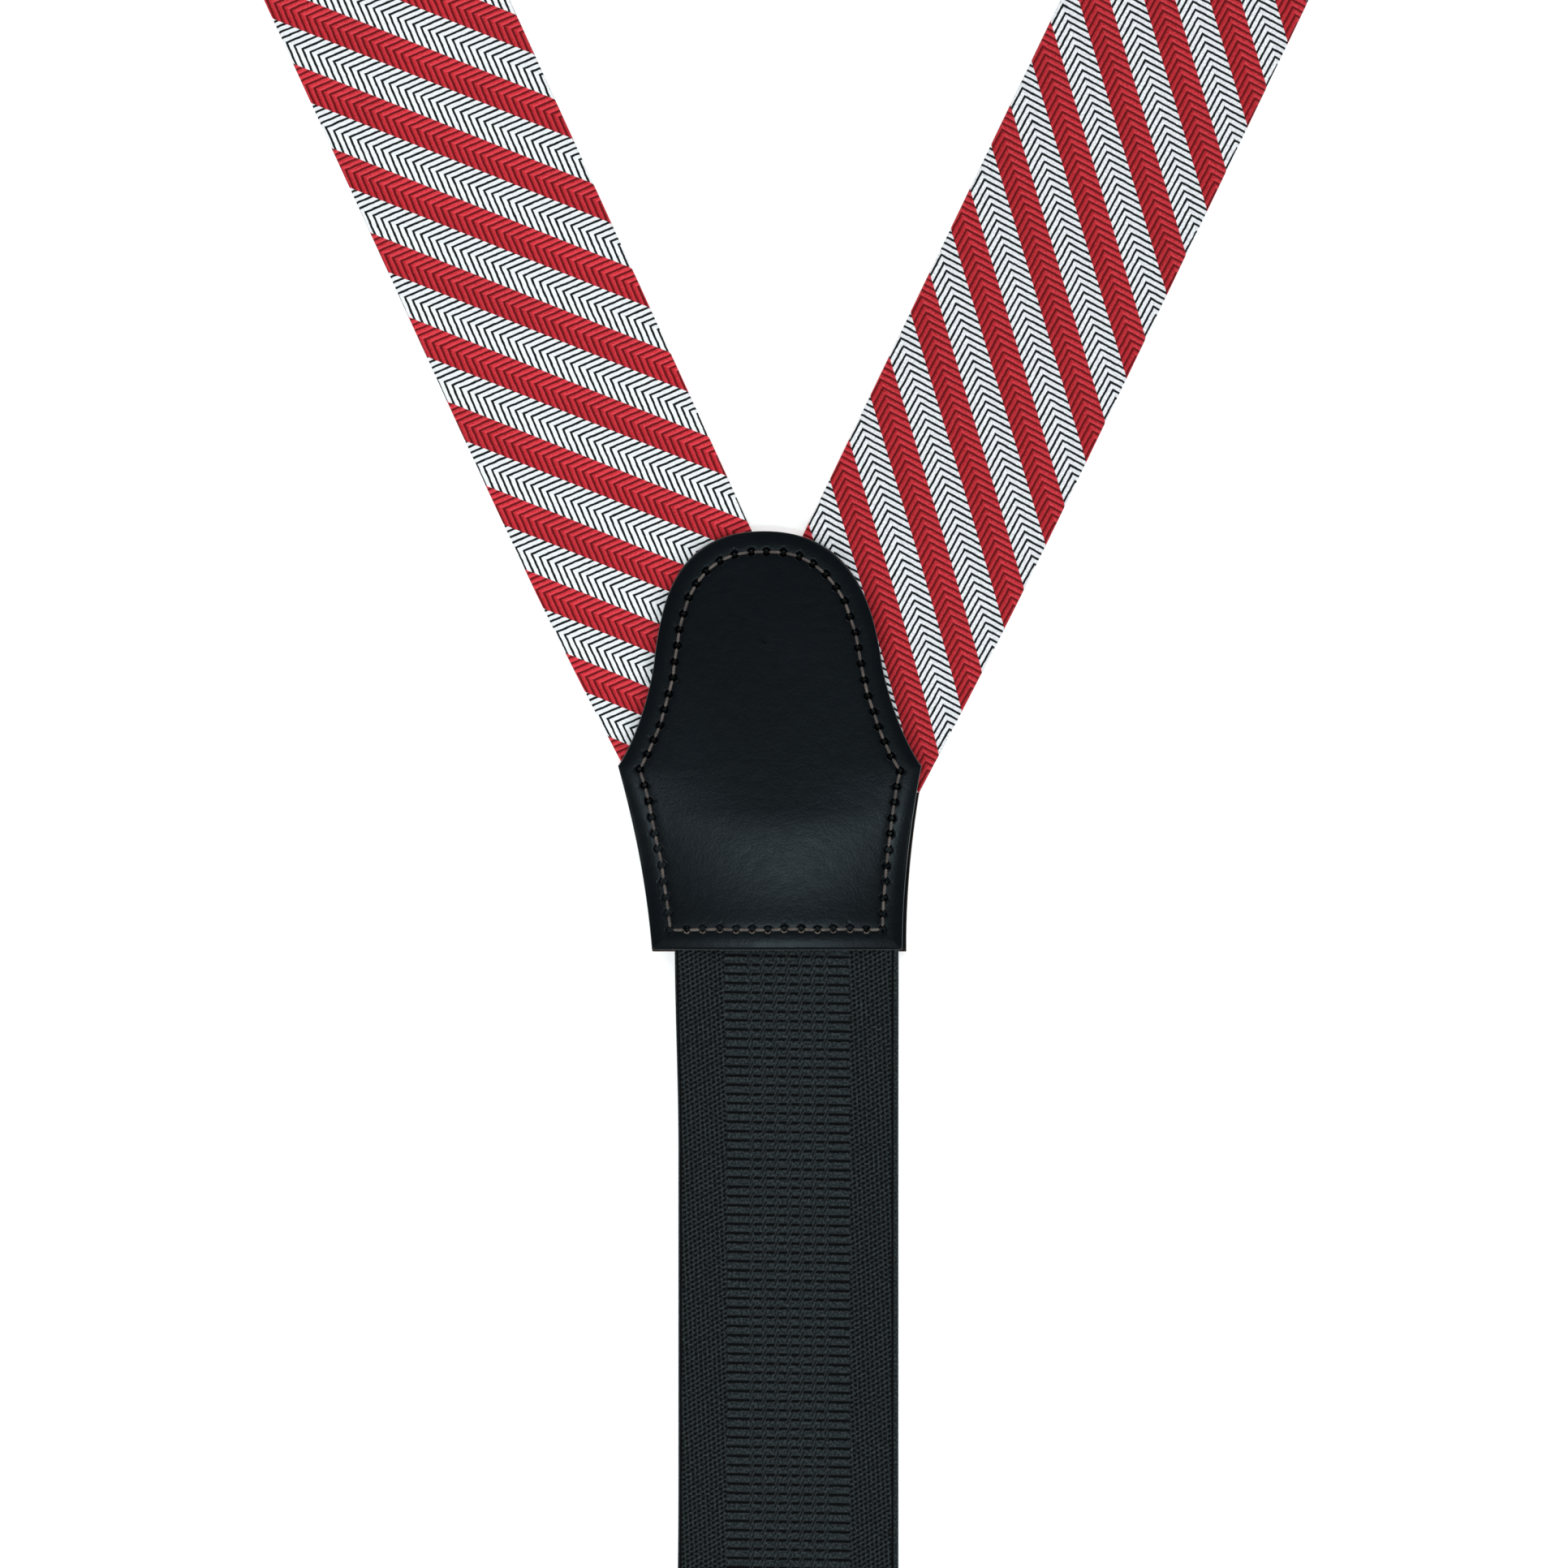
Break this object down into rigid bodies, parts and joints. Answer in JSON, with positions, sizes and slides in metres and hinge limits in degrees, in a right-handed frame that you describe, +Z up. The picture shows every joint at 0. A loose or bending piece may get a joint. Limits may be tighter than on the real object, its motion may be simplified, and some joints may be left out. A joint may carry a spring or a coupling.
{
  "type": "suspenders",
  "caption": "Y-back dress suspenders: striped woven ribbons, leather back patch, elastic rear strap, lever adjusters and leather button tabs, laid flat.",
  "frame": {"origin": "middle of the bounding box, on the surface that the suspenders lie on", "axes": "+Y from the rear tab to the front tabs, +Z up out of the outer face, +X to the wearer's right seen from behind"},
  "size_m": [0.344, 1.0548, 0.0095],
  "materials": {
    "ribbon": "silk herringbone with 45 degree red and white stripes",
    "ribbon_lining": "plain matt lining cloth",
    "patch_leather": "smooth black leather, semi-matt",
    "tab_leather": "smooth black leather, semi-matt",
    "thread": "waxed taupe thread",
    "elastic": "ribbed black woven elastic",
    "hardware": "polished brass"
  },
  "bodies": {
    "back": {"back_patch_outer": "patch_leather", "back_patch_lining": "patch_leather", "back_patch_thread": "thread", "elastic_strap": "elastic", "left_lining_back": "ribbon_lining", "left_ribbon_back": "ribbon", "right_lining_back": "ribbon_lining", "right_ribbon_back": "ribbon"},
    "left_front": {"left_lining_front": "ribbon_lining", "left_ribbon_front": "ribbon"},
    "left_adjuster": {"left_adjuster_frame": "hardware", "left_adjuster_pin": "hardware", "left_ribbon_end": "ribbon"},
    "left_lever": {"left_adjuster_lever": "hardware"},
    "left_end": {"left_ribbon_return": "ribbon"},
    "left_ring": {"left_ring": "hardware"},
    "left_tab": {"left_tab_outer": "tab_leather", "left_tab_lining": "tab_leather", "left_tab_thread": "thread"},
    "right_front": {"right_lining_front": "ribbon_lining", "right_ribbon_front": "ribbon"},
    "right_adjuster": {"right_adjuster_frame": "hardware", "right_adjuster_pin": "hardware", "right_ribbon_end": "ribbon"},
    "right_lever": {"right_adjuster_lever": "hardware"},
    "right_end": {"right_ribbon_return": "ribbon"},
    "right_ring": {"right_ring": "hardware"},
    "right_tab": {"right_tab_outer": "tab_leather", "right_tab_lining": "tab_leather", "right_tab_thread": "thread"},
    "rear_end": {"elastic_end": "elastic"},
    "rear_ring": {"rear_ring": "hardware"},
    "rear_tab": {"rear_tab_outer": "tab_leather", "rear_tab_lining": "tab_leather", "rear_tab_thread": "thread"}
  },
  "joints": [
    {"name": "left_shoulder_fold", "type": "hinge", "parent": "back", "child": "left_front", "pos_m": [-0.13352, 0.1675, 0.0015], "axis": [1, 0, 0], "range_deg": [0, 120]},
    {"name": "left_adjuster_slide", "type": "slide", "parent": "left_front", "child": "left_adjuster", "axis": [0, 1, 0], "range_m": [-0.05, 0.05]},
    {"name": "left_lever_pivot", "type": "hinge", "parent": "left_adjuster", "child": "left_lever", "pos_m": [-0.13352, 0.298, 0.0073], "axis": [1, 0, 0], "range_deg": [0, 100]},
    {"name": "left_end_slide", "type": "slide", "parent": "left_front", "child": "left_end", "axis": [0, 1, 0], "range_m": [-0.025, 0.025], "deforming": ["left_lining_front", "left_ribbon_front", "left_ribbon_return"]},
    {"name": "left_ring_pivot", "type": "hinge", "parent": "left_end", "child": "left_ring", "pos_m": [-0.13352, 0.4425, 0.00225], "axis": [1, 0, 0], "range_deg": [0, 60]},
    {"name": "left_tab_pivot", "type": "hinge", "parent": "left_ring", "child": "left_tab", "pos_m": [-0.13352, 0.4529, 0.00225], "axis": [1, 0, 0], "range_deg": [0, 100]},
    {"name": "right_shoulder_fold", "type": "hinge", "parent": "back", "child": "right_front", "pos_m": [0.13352, 0.1675, 0.0015], "axis": [1, 0, 0], "range_deg": [0, 120]},
    {"name": "right_adjuster_slide", "type": "slide", "parent": "right_front", "child": "right_adjuster", "axis": [0, 1, 0], "range_m": [-0.05, 0.05]},
    {"name": "right_lever_pivot", "type": "hinge", "parent": "right_adjuster", "child": "right_lever", "pos_m": [0.13352, 0.298, 0.0073], "axis": [1, 0, 0], "range_deg": [0, 100]},
    {"name": "right_end_slide", "type": "slide", "parent": "right_front", "child": "right_end", "axis": [0, 1, 0], "range_m": [-0.025, 0.025], "deforming": ["right_lining_front", "right_ribbon_front", "right_ribbon_return"]},
    {"name": "right_ring_pivot", "type": "hinge", "parent": "right_end", "child": "right_ring", "pos_m": [0.13352, 0.4425, 0.00225], "axis": [1, 0, 0], "range_deg": [0, 60]},
    {"name": "right_tab_pivot", "type": "hinge", "parent": "right_ring", "child": "right_tab", "pos_m": [0.13352, 0.4529, 0.00225], "axis": [1, 0, 0], "range_deg": [0, 100]},
    {"name": "elastic_stretch", "type": "slide", "parent": "back", "child": "rear_end", "axis": [0, -1, 0], "range_m": [0, 0.06], "stiffness_N_per_m": 150, "deforming": ["elastic_strap"]},
    {"name": "rear_ring_pivot", "type": "hinge", "parent": "rear_end", "child": "rear_ring", "pos_m": [-0.0025, -0.4425, 0.00265], "axis": [-1, 0, 0], "range_deg": [0, 60]},
    {"name": "rear_tab_pivot", "type": "hinge", "parent": "rear_ring", "child": "rear_tab", "pos_m": [-0.0025, -0.4529, 0.00265], "axis": [-1, 0, 0], "range_deg": [0, 100]}
  ],
  "couplings": [
    {"joint": "left_end_slide", "follows": "left_adjuster_slide", "ratio": 0.5},
    {"joint": "right_end_slide", "follows": "right_adjuster_slide", "ratio": 0.5}
  ]
}
